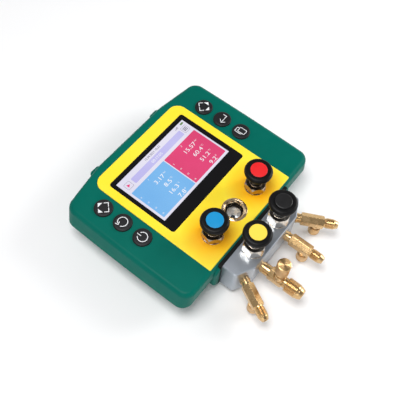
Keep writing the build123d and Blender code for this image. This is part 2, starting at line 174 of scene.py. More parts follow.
def hex_turned(rows, af, rho=0.35, turn=0.0, flat=10, corner=5):
    """A closed surface of rows along Z. A row is ("c", r, z) for a circle, ("h", k, z) for the hexagon scaled by k,
    ("ht", r, slope, z) for where the hexagon meets a cone of radius r at z (slope = dz/dr away from it), and ("m", r, z) for
    the smaller of the hexagon and a circle."""
    ang = hex_angles(af, rho, turn, flat, corner)
    verts, faces, rr = [], [], []
    for row in rows:
        if row[0] == "c" and row[1] < 1e-6:
            rr.append([len(verts)])
            verts.append((0, 0, row[2]))
            continue
        cur = []
        for a in ang:
            R = hex_radius(a, af, rho, turn)
            if row[0] == "c":
                r, z = row[1], row[2]
            elif row[0] == "h":
                r, z = R * row[1], row[2]
            elif row[0] == "m":
                r, z = min(R, row[1]), row[2]
            else:
                r, z = R, row[3] + max(0.0, R - row[1]) * row[2]
            cur.append(len(verts))
            verts.append((r * math.cos(a), r * math.sin(a), z))
        rr.append(cur)
    n = len(ang)
    for A, B in zip(rr, rr[1:]):
        for j in range(n):
            k = (j + 1) % n
            if len(A) == 1:
                faces.append([A[0], B[j], B[k]])
            elif len(B) == 1:
                faces.append([A[j], A[k], B[0]])
            else:
                faces.append([A[j], A[k], B[k], B[j]])
    return verts, faces


def thread_band(R, z0, z1, pitch, depth, seg=72, per=8, lead_in=1.0, lead_out=1.0):
    """The outer surface of a right-hand thread from z0 to z1: rows follow the helix, both ends are plain circles of the minor radius."""
    verts, faces = [], []
    turns = (z1 - z0) / pitch
    nrow = int(math.ceil((turns + 1) * per)) + 1

    def prof(ph):                       # 0..1 -> 0 at crest, 1 at root
        ph %= 1.0
        if ph < 0.16:
            return 0.0
        if ph < 0.46:
            return (ph - 0.16) / 0.30
        if ph < 0.60:
            return 1.0
        if ph < 0.90:
            return 1.0 - (ph - 0.60) / 0.30
        return 0.0

    rmin = R - depth
    for i in range(nrow):
        d = prof(i / per)
        for j in range(seg + 1):
            z = z0 + i * pitch / per + pitch * j / seg - pitch
            zc = min(max(z, z0), z1)
            r = R - depth * d
            r = min(r, rmin + (zc - z0) / lead_in * depth, rmin + (z1 - zc) / lead_out * depth)
            a = 2 * math.pi * j / seg
            verts.append((r * math.cos(a), r * math.sin(a), zc))
    w = seg + 1
    for i in range(nrow - 1):
        for j in range(seg):
            q = [i * w + j, i * w + j + 1, (i + 1) * w + j + 1, (i + 1) * w + j]
            zs = [verts[k][2] for k in q]
            if max(zs) - min(zs) < 1e-9 and (zs[0] in (z0, z1)):
                continue
            faces.append(q)
    return verts, faces


def prism(poly, z0, z1):
    n = len(poly)
    verts = [(x, y, z0) for x, y in poly] + [(x, y, z1) for x, y in poly]
    faces = [list(range(n))[::-1], list(range(n, 2 * n))]
    faces += [[i, (i + 1) % n, n + (i + 1) % n, n + i] for i in range(n)]
    return verts, faces


def ribbon(pts, w, z0, z1, closed=False):
    """A flat stroke of width w along a line, as a closed solid."""
    P = [Vector((p[0], p[1])) for p in pts]
    N, L, R = len(P), [], []
    for i, p in enumerate(P):
        a = P[i - 1] if (i or closed) else None
        b = P[(i + 1) % N] if (i < N - 1 or closed) else None
        d1 = (p - a).normalized() if a is not None else (b - p).normalized()
        d2 = (b - p).normalized() if b is not None else d1
        n1, n2 = Vector((-d1.y, d1.x)), Vector((-d2.y, d2.x))
        m = (n1 + n2)
        m = m.normalized() if m.length > 1e-6 else n1
        s = w / 2 / max(0.45, m.dot(n1))
        L.append(p + m * s)
        R.append(p - m * s)
    verts, faces = [], []
    for q in (L, R):
        verts += [(p.x, p.y, z1) for p in q]
    for q in (L, R):
        verts += [(p.x, p.y, z0) for p in q]
    n = N if closed else N - 1
    for i in range(n):
        k = (i + 1) % N
        lt, ltk, rt, rtk = i, k, N + i, N + k
        lb, lbk, rb, rbk = 2 * N + i, 2 * N + k, 3 * N + i, 3 * N + k
        faces += [[rt, rtk, ltk, lt], [lb, lbk, rbk, rb], [lt, ltk, lbk, lb], [rb, rbk, rtk, rt]]
    if not closed:
        faces += [[0, 2 * N, 3 * N, N], [N - 1, 2 * N - 1, 4 * N - 1, 3 * N - 1]]
    return verts, faces


def arc(cx, cy, r, a0, a1, n=24):
    return [(cx + r * math.cos(math.radians(a0 + (a1 - a0) * i / n)), cy + r * math.sin(math.radians(a0 + (a1 - a0) * i / n)))
            for i in range(n + 1)]


def rrect(x0, x1, y0, y1, r, n=6):
    out = []
    for cx, cy, a in ((x1 - r, y0 + r, -90), (x1 - r, y1 - r, 0), (x0 + r, y1 - r, 90), (x0 + r, y0 + r, 180)):
        out += arc(cx, cy, r, a, a + 90, n)
    return out


def words(text, size, x, y, align="LEFT", wide=1.0):
    """The outlines of a line of text as closed prisms, from Blender's own font. Size is the height of a digit."""
    cu = bpy.data.curves.new("t", "FONT")
    cu.body = text
    cu.size = 1.0
    cu.resolution_u = 4
    cu.extrude = 0.5
    o = bpy.data.objects.new("t", cu)
    bpy.context.scene.collection.objects.link(o)
    bpy.context.view_layer.update()
    dg = bpy.context.evaluated_depsgraph_get()
    me = bpy.data.meshes.new_from_object(o.evaluated_get(dg))
    vs = [v.co.copy() for v in me.vertices]
    fs = [list(p.vertices) for p in me.polygons]
    bpy.data.objects.remove(o)
    bpy.data.curves.remove(cu)
    bpy.data.meshes.remove(me)
    s = size / 0.729
    xs = [v.x for v in vs]
    w = (max(xs) - min(xs)) * s * wide
    dx = {"LEFT": 0.0, "RIGHT": -w, "CENTER": -w / 2}[align]
    verts = [(x + dx + (v.x - min(xs)) * s * wide, y + v.y * s, v.z) for v in vs]
    return verts, fs


def at(x, y, z, turn=0.0):
    return Matrix.Translation((x, y, z)) @ Matrix.Rotation(math.radians(turn), 4, "Z")


OUT = Matrix.Rotation(math.radians(90), 4, "X")        # +Z becomes -Y


def port_frame(name):
    x, y, a = PORTS[name]
    return at(x, y, Z_PORT, a)


# ------------------------------------------------------------------- materials
class Mat:
    """A principled material with its coordinates in metres and a few pattern helpers."""

    def __init__(self, name, colour, rough=0.5, metal=0.0, **k):
        self.m = bpy.data.materials.new(name)
        self.m.use_nodes = True
        self.t = self.m.node_tree
        self.N = self.t.nodes
        self.b = self.N["Principled BSDF"]
        self.b.inputs["Base Color"].default_value = (*colour, 1)
        self.b.inputs["Roughness"].default_value = rough
        self.b.inputs["Metallic"].default_value = metal
        for key, v in k.items():
            self.b.inputs[key.replace("_", " ")].default_value = v
        self.co = self.N.new("ShaderNodeTexCoord").outputs["Object"]
        self.base = colour

    def link(self, a, b):
        self.t.links.new(a, b)

    def mapped(self, scale=(1, 1, 1), rot=(0, 0, 0), loc=(0, 0, 0)):
        n = self.N.new("ShaderNodeMapping")
        n.inputs["Scale"].default_value = scale
        n.inputs["Rotation"].default_value = rot
        n.inputs["Location"].default_value = loc
        self.link(self.co, n.inputs["Vector"])
        return n.outputs["Vector"]

    def noise(self, scale, detail=3.0, rough=0.55, vec=None, distort=0.0):
        n = self.N.new("ShaderNodeTexNoise")
        n.inputs["Scale"].default_value = scale
        n.inputs["Detail"].default_value = detail
        n.inputs["Roughness"].default_value = rough
        n.inputs["Distortion"].default_value = distort
        self.link(vec if vec is not None else self.co, n.inputs["Vector"])
        return n.outputs["Fac"]

    def ramp(self, fac, stops):
        n = self.N.new("ShaderNodeValToRGB")
        e = n.color_ramp.elements
        while len(e) < len(stops):
            e.new(0.5)
        for el, (p, c) in zip(e, stops):
            el.position = p
            el.color = (*c, 1) if len(c) == 3 else c
        self.link(fac, n.inputs["Fac"])
        return n.outputs["Color"]

    def math(self, op, a, b=None, clamp=False):
        n = self.N.new("ShaderNodeMath")
        n.operation = op
        n.use_clamp = clamp
        for i, x in enumerate((a, b)):
            if x is None:
                continue
            if isinstance(x, (int, float)):
                n.inputs[i].default_value = x
            else:
                self.link(x, n.inputs[i])
        return n.outputs[0]

    def remap(self, fac, a, b, c, d):
        n = self.N.new("ShaderNodeMapRange")
        for s, v in zip(("From Min", "From Max", "To Min", "To Max"), (a, b, c, d)):
            n.inputs[s].default_value = v
        self.link(fac, n.inputs["Value"])
        return n.outputs["Result"]

    def mix(self, fac, a, b, mode="MIX"):
        n = self.N.new("ShaderNodeMix")
        n.data_type = "RGBA"
        n.blend_type = mode
        if isinstance(fac, (int, float)):
            n.inputs[0].default_value = fac
        else:
            self.link(fac, n.inputs[0])
        for s, x in ((n.inputs[6], a), (n.inputs[7], b)):
            if isinstance(x, (tuple, list)):
                s.default_value = (*x[:3], 1)
            else:
                self.link(x, s)
        return n.outputs[2]

    def colour(self, sock):
        self.link(sock, self.b.inputs["Base Color"])
        return self

    def rough(self, fac, lo, hi, a=0.3, b=0.7):
        self.link(self.remap(fac, a, b, lo, hi), self.b.inputs["Roughness"])
        return self

    def bump(self, fac, strength=0.2, dist=0.0002):
        n = self.N.new("ShaderNodeBump")
        n.inputs["Strength"].default_value = strength
        n.inputs["Distance"].default_value = dist
        self.link(fac, n.inputs["Height"])
        prev = self.b.inputs["Normal"]
        if prev.is_linked:
            self.link(prev.links[0].from_socket, n.inputs["Normal"])
        self.link(n.outputs["Normal"], prev)
        return self

    def xyz(self):
        n = self.N.new("ShaderNodeSeparateXYZ")
        self.link(self.co, n.inputs[0])
        return n.outputs

    def worn(self, base, light, width=0.0006, lo=0.02, hi=0.16, amount=0.6):
        """Lighter along outer edges, where handling polishes a surface."""
        bev = self.N.new("ShaderNodeBevel")
        bev.samples = 4
        bev.inputs["Radius"].default_value = width
        geo = self.N.new("ShaderNodeNewGeometry")
        dot = self.N.new("ShaderNodeVectorMath")
        dot.operation = "DOT_PRODUCT"
        self.link(bev.outputs[0], dot.inputs[0])
        self.link(geo.outputs["Normal"], dot.inputs[1])
        edge = self.math("SUBTRACT", 1.0, dot.outputs["Value"])
        edge = self.remap(edge, lo, hi, 0.0, amount)
        n = self.noise(900, 4)
        edge = self.math("MULTIPLY", edge, self.remap(n, 0.35, 0.62, 0.0, 1.0), clamp=True)
        return self.mix(edge, base, light)


def srgb(r, g, b):
    return tuple((c / 255 / 12.92) if c / 255 <= 0.04045 else (((c / 255) + 0.055) / 1.055) ** 2.4 for c in (r, g, b))


def shade(c, k):
    return tuple(min(1.0, x * k) for x in c)


GREEN = srgb(0, 99, 86)
YELLOW = srgb(255, 228, 50)
MAT = {}


def plastic(name, col, r=0.42, grain=2600, bump=0.10, dist=0.00006, var=0.06, wear=None, **k):
    m = Mat(name, col, r, 0.0, **k)
    big = m.noise(18, 3)
    c = m.ramp(big, [(0.3, shade(col, 1 - var)), (0.7, shade(col, 1 + var))])
    fine = m.noise(grain, 2, 0.6)
    spots = m.noise(160, 5, 0.65)
    c = m.mix(m.remap(spots, 0.45, 0.75, 0.0, 0.10), c, shade(col, 1.35))
    if wear:
        c = m.worn(c, wear)
    m.colour(c)
    m.rough(m.noise(70, 4), r - 0.05, r + 0.07)
    m.bump(fine, bump, dist)
    MAT[name] = m.m
    return m


def build_materials():
    plastic("green_plastic", GREEN, 0.40, wear=shade(GREEN, 1.4), Specular_IOR_Level=0.08)
    plastic("black_plastic", srgb(26, 26, 28), 0.34, grain=1500, bump=0.05, wear=srgb(70, 70, 74))
    plastic("knob_plastic", srgb(6, 6, 7), 0.40, grain=1800, bump=0.06, dist=0.00004, var=0.1, wear=srgb(32, 32, 35), Specular_IOR_Level=0.2)
    plastic("button_rubber", srgb(21, 21, 24), 0.50, grain=3200, bump=0.18, var=0.08, wear=srgb(48, 48, 52), Specular_IOR_Level=0.3)
    plastic("black_rubber", srgb(8, 9, 9), 0.62, grain=3000, bump=0.25, var=0.1, wear=srgb(30, 30, 32), Specular_IOR_Level=0.2)
    plastic("white_print", srgb(232, 234, 236), 0.45, grain=4000, bump=0.05, var=0.03)
    plastic("battery_wrap", srgb(48, 50, 56), 0.3, wear=srgb(90, 90, 96))
    for n, c in (("disc_red", srgb(224, 28, 32)), ("disc_blue", srgb(0, 139, 197)), ("disc_yellow", srgb(248, 214, 72)),
                 ("disc_black", srgb(10, 10, 11))):
        plastic(n, c, 0.36, grain=2200, bump=0.05, var=0.03, wear=shade(c, 1.3))

    # lacquered face plate
    m = Mat("yellow_plate", YELLOW, 0.34, 0.0, Specular_IOR_Level=0.4)
    big = m.noise(14, 3)
    c = m.ramp(big, [(0.3, srgb(255, 224, 42)), (0.7, srgb(255, 231, 60))])
    spots = m.noise(420, 4, 0.7)
    c = m.mix(m.remap(spots, 0.55, 0.8, 0.0, 0.10), c, srgb(255, 240, 130))
    painted_knob_shade = None                        # painted shade and reflection of the knobs: the plate is painted deeper orange round the valve openings
    for vx in (-0.03595, 0.03595):
        d = m.N.new("ShaderNodeVectorMath")
        d.operation = "DISTANCE"
        m.link(m.co, d.inputs[0])
        d.inputs[1].default_value = (vx, -0.0595, 0.05)
        h = m.remap(d.outputs["Value"], 0.014, 0.033, 1.0, 0.0)
        painted_knob_shade = h if painted_knob_shade is None else m.math("MAXIMUM", painted_knob_shade, h)
    painted_knob_shade = m.math("MULTIPLY", painted_knob_shade, m.remap(m.noise(34, 2), 0.3, 0.7, 0.75, 1.0), clamp=True)
    # painted shade: the plate colour is mixed towards orange near the knobs
    c = m.mix(painted_knob_shade, c, srgb(255, 178, 0))
    c = m.worn(c, srgb(255, 244, 160), amount=0.35)
    m.colour(c).rough(m.noise(90, 3), 0.28, 0.40)
    m.bump(m.noise(1400, 2), 0.06, 0.00005)
    MAT["yellow_plate"] = m.m

    # satin aluminium: fine milling lines along X, patchy sheen
    m = Mat("aluminium", srgb(176, 182, 190), 0.32, 1.0)
    lines = m.noise(220, 3, 0.6, vec=m.mapped((1.0, 16.0, 16.0)))
    patch = m.noise(26, 3)
    c = m.ramp(patch, [(0.3, srgb(170, 177, 186)), (0.7, srgb(190, 196, 203))])
    c = m.mix(m.remap(lines, 0.35, 0.65, 0.0, 0.18), c, srgb(152, 160, 170))
    c = m.worn(c, srgb(226, 228, 232), width=0.0005, amount=0.8)
    m.colour(c).rough(lines, 0.30, 0.40)
    m.bump(lines, 0.05, 0.00003)
    MAT["aluminium"] = m.m

    # turned brass: rings round the axis are made by the mesh; here hue and roughness wander a little
    def brass(name, a, b, c3, r0, r1, grain=700):
        m = Mat(name, a, r0, 1.0)
        v = m.noise(130, 4)
        c = m.ramp(v, [(0.28, a), (0.55, b), (0.8, c3)])
        fine = m.noise(grain, 3, 0.6)
        c = m.mix(m.remap(fine, 0.5, 0.75, 0.0, 0.10), c, shade(a, 0.85))
        c = m.worn(c, srgb(246, 226, 182), width=0.0003, amount=0.7)
        m.colour(c).rough(v, r0, r1)
        m.bump(v, 0.05, 0.00003)
        MAT[name] = m.m

    brass("brass", srgb(206, 170, 118), srgb(214, 179, 128), srgb(224, 192, 144), 0.24, 0.29)
    brass("brass_cap", srgb(200, 160, 108), srgb(210, 172, 120), srgb(222, 186, 136), 0.27, 0.34)

    # nickel plating
    def plated(name, a, b, r0, r1, edge):
        m = Mat(name, a, r0, 1.0)
        v = m.noise(90, 3)
        c = m.ramp(v, [(0.3, a), (0.7, b)])
        c = m.worn(c, edge, width=0.0003, amount=0.6)
        fine = m.noise(1100, 3)
        m.colour(c).rough(fine, r0, r1)
        m.bump(fine, 0.05, 0.00002)
        MAT[name] = m.m

    plated("nickel", srgb(218, 210, 199), srgb(228, 221, 211), 0.15, 0.23, srgb(245, 240, 232))
    plated("nickel_warm", srgb(172, 154, 134), srgb(188, 172, 154), 0.12, 0.20, srgb(244, 236, 224))
    plated("nickel_gold", srgb(222, 192, 150), srgb(234, 210, 172), 0.14, 0.20, srgb(248, 236, 220))
    plated("mirror_steel", srgb(226, 228, 230), srgb(238, 239, 241), 0.34, 0.46, srgb(240, 240, 242))
    plated("steel", srgb(150, 152, 156), srgb(176, 178, 182), 0.26, 0.38, srgb(215, 216, 220))

    # circuit board with copper pours
    m = Mat("circuit_board", srgb(12, 88, 54), 0.4)
    cells = m.N.new("ShaderNodeTexVoronoi")
    cells.inputs["Scale"].default_value = 260
    m.link(m.co, cells.inputs["Vector"])
    c = m.mix(m.remap(cells.outputs["Distance"], 0.25, 0.32, 0.0, 0.8), srgb(10, 74, 46), srgb(30, 120, 78))
    m.colour(c).rough(m.noise(300, 3), 0.3, 0.5)
    m.bump(cells.outputs["Distance"], 0.1, 0.00005)
    MAT["circuit_board"] = m.m

    # black print behind the glass
    m = Mat("glass_border", srgb(9, 9, 10), 0.06, 0.0, Specular_IOR_Level=0.5)
    m.colour(m.ramp(m.noise(30, 2), [(0.3, srgb(8, 8, 9)), (0.7, srgb(13, 12, 14))]))
    m.rough(m.noise(220, 4), 0.045, 0.085)
    MAT["glass_border"] = m.m

    # clear glass: a little gloss over what is behind it
    for name, rr in (("clear_glass", 0.03), ("lens_glass", 0.02)):
        mt = bpy.data.materials.new(name)
        mt.use_nodes = True
        t = mt.node_tree
        t.nodes.clear()
        out = t.nodes.new("ShaderNodeOutputMaterial")
        mix = t.nodes.new("ShaderNodeMixShader")
        tr = t.nodes.new("ShaderNodeBsdfTransparent")
        tr.inputs["Color"].default_value = (0.985, 0.99, 0.99, 1)
        gl = t.nodes.new("ShaderNodeBsdfGlossy")
        gl.inputs["Color"].default_value = (1, 1, 1, 1)
        co = t.nodes.new("ShaderNodeTexCoord")
        nz = t.nodes.new("ShaderNodeTexNoise")
        nz.inputs["Scale"].default_value = 90
        nz.inputs["Detail"].default_value = 4
        mr = t.nodes.new("ShaderNodeMapRange")
        for s, v in zip(("From Min", "From Max", "To Min", "To Max"), (0.3, 0.7, rr, rr + 0.05)):
            mr.inputs[s].default_value = v
        fr = t.nodes.new("ShaderNodeFresnel")
        fr.inputs["IOR"].default_value = 1.25
        geo = t.nodes.new("ShaderNodeNewGeometry")       # only the outer side of the sheet reflects
        front = t.nodes.new("ShaderNodeMath")
        front.operation = "SUBTRACT"
        front.inputs[0].default_value = 1.0
        t.links.new(geo.outputs["Backfacing"], front.inputs[1])
        gloss = t.nodes.new("ShaderNodeMath")
        gloss.operation = "MULTIPLY"
        t.links.new(fr.outputs[0], gloss.inputs[0])
        t.links.new(front.outputs[0], gloss.inputs[1])
        t.links.new(co.outputs["Object"], nz.inputs["Vector"])
        t.links.new(nz.outputs["Fac"], mr.inputs["Value"])
        t.links.new(mr.outputs["Result"], gl.inputs["Roughness"])
        t.links.new(gloss.outputs[0], mix.inputs[0])
        t.links.new(tr.outputs[0], mix.inputs[1])
        t.links.new(gl.outputs[0], mix.inputs[2])
        t.links.new(mix.outputs[0], out.inputs["Surface"])
        MAT[name] = mt

    # lit display colours: each wanders a little, as a back light does
    def lit(name, a, b, k=1.0, scale=16):
        m = Mat(name, (0.01, 0.01, 0.012), 0.35)
        c = m.ramp(m.noise(scale, 2), [(0.3, a), (0.7, b)])
        m.link(c, m.b.inputs["Emission Color"])
        m.b.inputs["Emission Strength"].default_value = k
        m.rough(m.noise(500, 2), 0.3, 0.4)
        MAT[name] = m.m

    lit("lit_white", srgb(226, 222, 240), srgb(236, 232, 246))
    lit("lit_band", srgb(188, 180, 236), srgb(200, 196, 244))
    lit("lit_red", srgb(218, 56, 108), srgb(236, 64, 122))
    lit("lit_blue", srgb(112, 178, 236), srgb(128, 190, 242))
    lit("lit_figure", srgb(244, 244, 252), srgb(252, 252, 255), scale=200)
    lit("lit_text", srgb(58, 58, 84), srgb(70, 70, 96), scale=200)
    lit("lit_pink", srgb(228, 40, 110), srgb(240, 56, 124), scale=200)
    lit("lit_green", srgb(92, 130, 60), srgb(104, 142, 70), scale=200)
    lit("lit_grey", srgb(140, 130, 150), srgb(154, 144, 164), scale=200)


build_materials()

SLOT_MATERIAL = {
    "green_shell": "green_plastic", "yellow_plate": "yellow_plate", "black_plastic": "black_plastic",
    "black_rubber": "black_rubber", "button_rubber": "button_rubber", "clear_glass": "lens_glass",
    "display": "lit_white", "circuit_board": "circuit_board", "battery_wrap": "battery_wrap",
    "aluminium": "aluminium", "nickel": "nickel", "steel": "steel", "brass": "brass",
    "disc_blue": "disc_blue", "disc_red": "disc_red", "disc_yellow": "disc_yellow", "disc_black": "disc_black",
}
slots = {s["node"]: s["material_slot"] for s in frame["record"]["subparts"]}
for n, o in NODES.items():
    name = SLOT_MATERIAL[slots[n]]
    for s in o.material_slots:
        s.material = MAT[name]
NODES["sight_reflector"].material_slots[0].material = MAT["mirror_steel"]
for v in VALVES:
    NODES[f"knob_{v}"].material_slots[0].material = MAT["knob_plastic"]


def piece(obj, body, slot, *nodes):
    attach(obj, body)
    if nodes:
        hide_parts(*nodes)
    return obj


# --------------------------------------------------------------------- display
def cover_glass():
    """One sheet of glass: printed black border round a clear window."""
    x0, x1, y0, y1 = -58.75, 58.75, -28.4, 56.8
    ax0, ax1, ay0, ay1 = -54.1, 54.1, 19.4 - 32.5, 19.4 + 32.5
    z0, z1 = 48.4, 49.9
    n = 6
    outer = rrect(x0 + 0.25, x1 - 0.25, y0 + 0.25, y1 - 0.25, 2.75, n)
    rim = rrect(x0, x1, y0, y1, 3.0, n)
    inner = rrect(ax0, ax1, ay0, ay1, 0.25, n)
    b = Build()
    N = len(outer)
    v = [(*p, z1) for p in inner] + [(*p, z1) for p in outer] + [(*p, z1 - 0.25) for p in rim] \
        + [(*p, z0) for p in rim] + [(*p, z0) for p in inner]
    f, mats = [], []
    for r in range(4):
        for i in range(N):
            k = (i + 1) % N
            f.append([r * N + i, r * N + k, (r + 1) * N + k, (r + 1) * N + i])
    b.add(v, f, mat=0)
    b.add(v, [list(range(N)), list(range(4 * N, 5 * N))[::-1]], mat=1)
    o = b.make("display_glass", [MAT["glass_border"], MAT["clear_glass"]], sharp=25)
    return piece(o, "housing", "clear_glass", "cover_glass")


def screen():
    """The lit page: header, two value panels, figures and small symbols, as thin layers on the panel's front."""
    Z = 48.30
    L = Build()
    def flat(x0, x1, y0, y1, r, layer, mat, n=4):
        v, f = prism(rrect(x0, x1, y0, y1, r, n), Z + 0.012 * layer, Z + 0.012 * (layer + 1))
        L.add(v, f, mat=mat)
    WHITE, BAND, RED, BLUE, FIG, TXT, PINK, GRN, GREY = range(9)
    flat(-53.9, 53.9, -12.9, 51.7, 0.1, 0, WHITE)
    flat(-38.8, 41.0, 37.5, 45.2, 1.2, 1, BAND)
    flat(-50.9, 0.0, -9.7, 33.4, 0.8, 1, BLUE)
    flat(1.1, 52.0, -9.7, 33.4, 0.8, 1, RED)
    def put(text, size, x, y, align, mat, wide=1.0, layer=2):
        v, f = words(text, size, x, y, align, wide)
        v = [(a, c, Z + 0.012 * layer + 0.012 * (1 if d > 0 else 0)) for a, c, d in v]
        L.add(v, f, mat=mat)
    rows = (20.2, 10.6, 1.1, -8.4)
    for y, a, b, u in zip(rows, ("3.17", "8.5", "16.3", "7.8"), ("15.57", "60.4", "51.2", "9.2"), ("bar", "°C", "°C", "K")):
        put(a, 4.9, -12.8, y, "RIGHT", FIG, 1.22)
        put(b, 4.9, 39.4, y, "RIGHT", FIG, 1.22)
        put(u, 1.9, -11.6, y + 3.0, "LEFT", FIG)
        put(u, 1.9, 40.6, y + 3.0, "LEFT", FIG)
    for y, t in zip(rows, ("p", "t1", "t2", "dt")):
        put(t, 1.9, -48.6, y + 1.6, "LEFT", FIG)
        put(t, 1.9, 3.4, y + 1.6, "LEFT", FIG)
    put("1", 2.2, -27.4, 29.6, "CENTER", FIG)
    put("2", 2.2, 26.4, 29.6, "CENTER", FIG)
    put("12.04.2021 10:32", 2.7, 0.3, 47.4, "CENTER", TXT, 0.95, layer=1)
    put("00:17:05", 3.4, -1.0, 39.7, "CENTER", FIG, 1.0)
    # start key and list key
    def frame_of(x, y, s, r):
        v, f = ribbon(rrect(x - s, x + s, y - s, y + s, r)[:-1], 0.35, Z + 0.012, Z + 0.024, closed=True)
        L.add(v, f, mat=GREY)
    frame_of(-45.6, 41.6, 3.9, 1.0)
    L.add(*prism([(-47.2, 43.7), (-47.2, 39.5), (-43.6, 41.6)][::-1], Z + 0.012, Z + 0.024), mat=PINK)
    frame_of(46.9, 41.5, 3.9, 1.0)
    for i in range(4):
        for j in range(3):
            x, y = 45.0 + 1.27 * i, 39.9 + 1.6 * j
            L.add(*prism(rrect(x - 0.45, x + 0.45, y - 0.55, y + 0.55, 0.12, 2), Z + 0.012, Z + 0.024), mat=TXT)
    # battery and signal
    L.add(*prism(rrect(47.4, 51.4, 47.9, 50.0, 0.3, 3), Z + 0.012, Z + 0.024), mat=GRN)
    L.add(*prism(rrect(51.5, 52.1, 48.4, 49.5, 0.15, 3), Z + 0.012, Z + 0.024), mat=GRN)
    for i in range(4):
        L.add(*prism(rrect(38.0 + 1.3 * i, 38.8 + 1.3 * i, 47.6, 48.3 + 0.7 * i, 0.1, 2), Z + 0.012, Z + 0.024), mat=GREY)
    o = L.make("display_page", [MAT[x] for x in ("lit_white", "lit_band", "lit_red", "lit_blue", "lit_figure", "lit_text",
                                                 "lit_pink", "lit_green", "lit_grey")], flat=True)
    return piece(o, "housing", "display")


# --------------------------------------------------------------------- buttons
def buttons():
    prof = soften([(0, 51.3), (8.2, 51.3), (9.85, 50.7), (9.85, 45.44), (11.25, 45.44), (11.25, 43.9), (2.2, 43.9),
                   (2.2, 38.8), (0, 38.8)], [0, 1.2, 1.0, 0.1, 0.15, 0.2, 0.2, 0.2, 0], 5)
    z0, z1, w = 51.27, 51.34, 0.76
    def chevron(dx, dy, filled, d=7.7, arm=4.6):
        c = Vector((dx, dy)) * d
        inw = Vector((-dx, -dy))
        side = Vector((-dy, dx))
        a = c + (inw + side).normalized() * arm
        b = c + (inw - side).normalized() * arm
        if filled:
            pts = [tuple(c), tuple(a), tuple(b)]
            area = sum(pts[i][0] * pts[(i + 1) % 3][1] - pts[(i + 1) % 3][0] * pts[i][1] for i in range(3))
            return prism(pts if area > 0 else pts[::-1], z0, z1)
        inset = Vector((dx, dy)) * (-w * 0.6)
        return ribbon([a + inset, c + inset, b + inset], w, z0, z1)
    for name, (x, y) in BUTTONS.items():
        b = Build()
        b.add(*lathe(prof, 96), M=at(x, y, 0))
        o = b.make(name + "_cap", [MAT["button_rubber"]], sharp=40)
        piece(o, name, "button_rubber", name)
        g = Build()
        M = at(x, y, 0)
        if name in ("button_left_frame", "button_right_frame"):
            full = {(0, 1), (-1, 0)} if name == "button_left_frame" else {(1, 0), (0, -1)}
            for d in ((0, 1), (1, 0), (0, -1), (-1, 0)):
                g.add(*chevron(*d, d in full), M=M)
        elif name == "button_back":
            g.add(*ribbon(arc(0.2, 0.2, 5.1, 146, -168, 40), w, z0, z1), M=M)
            tip = Vector((0.2 + 5.1 * math.cos(math.radians(146)), 0.2 + 5.1 * math.sin(math.radians(146))))
            t = Vector((-math.sin(math.radians(150)), math.cos(math.radians(150))))
            s = Vector((-t.y, t.x))
            e = tip + t * 1.6
            g.add(*ribbon([e - t * 2.6 + s * 2.3, e, e - t * 2.6 - s * 2.3], w, z0, z1), M=M)
        elif name == "button_power":
            g.add(*ribbon(arc(0, -0.2, 5.1, 118, 422, 40), w, z0, z1), M=M)
            g.add(*ribbon([(0, 1.6), (0, 6.8)], w, z0, z1), M=M)
        elif name == "button_enter":
            g.add(*ribbon([(5.3, 2.6), (5.3, -1.9), (-4.0, -1.9)], w, z0, z1), M=M)
            g.add(*ribbon([(-1.9, 1.5), (-4.9, -1.9), (-1.9, -5.3)], w, z0, z1), M=M)
        else:
            g.add(*ribbon(rrect(-2.3, 3.7, -5.2, 3.2, 0.9, 4)[:-1], w * 0.9, z0, z1, closed=True), M=M)
            g.add(*ribbon([(-2.9, -1.9), (-3.4, -1.9), (-3.9, -1.4), (-3.9, 5.4), (-3.4, 5.9), (1.4, 5.9), (1.9, 5.4), (1.9, 3.9)],
                          w * 0.9, z0, z1), M=M)
        s = g.make(name + "_symbol", [MAT["white_print"]], flat=True)
        piece(s, name, "button_rubber")


# ---------------------------------------------------------------------- valves
def bonnets():
    for v, (x, y, z0) in VALVES.items():
        zt = BONNET_TOP[z0]
        ac = 21.0 / math.sqrt(3)
        k = -2.0 / 1.2                                 # height over radius of the top chamfer
        rt = ac - 1.2
        kb = 0.6
        rows = [("c", 4.05, 30.0), ("c", 8.0, 30.0), ("c", 8.0, z0 - 0.01), ("c", 10.95, z0), ("c", 11.2, z0 + 0.22),
                ("c", 11.2, z0 + 0.80), ("c", 11.0, z0 + 1.0), ("c", 10.1, z0 + 1.05),
                ("c", 10.1, z0 + 1.5), ("m", 10.5, z0 + 1.5), ("ht", 10.85, kb, z0 + 1.6),
                ("ht", rt - 0.12, k, zt - 0.22), ("m", rt - 0.15, zt - 0.18), ("m", rt - 0.45, zt),
                ("c", 7.5, zt), ("c", 7.2, zt - 0.25), ("c", 6.9, zt - 0.25), ("c", 6.9, zt + 0.2), ("c", 6.75, zt + 0.35),
                ("c", 4.3, zt + 0.35), ("c", 4.05, zt + 0.1), ("c", 4.05, 30.0)]
        b = Build()
        b.add(*hex_turned(rows, 21.0, 0.45, math.radians(18), flat=14), M=at(x, y, 0))
        o = b.make(f"bonnet_{v}_plated", [MAT["nickel_warm" if v in ("blue", "red") else "nickel"]], sharp=18)
        piece(o, "housing", "nickel", f"bonnet_{v}")


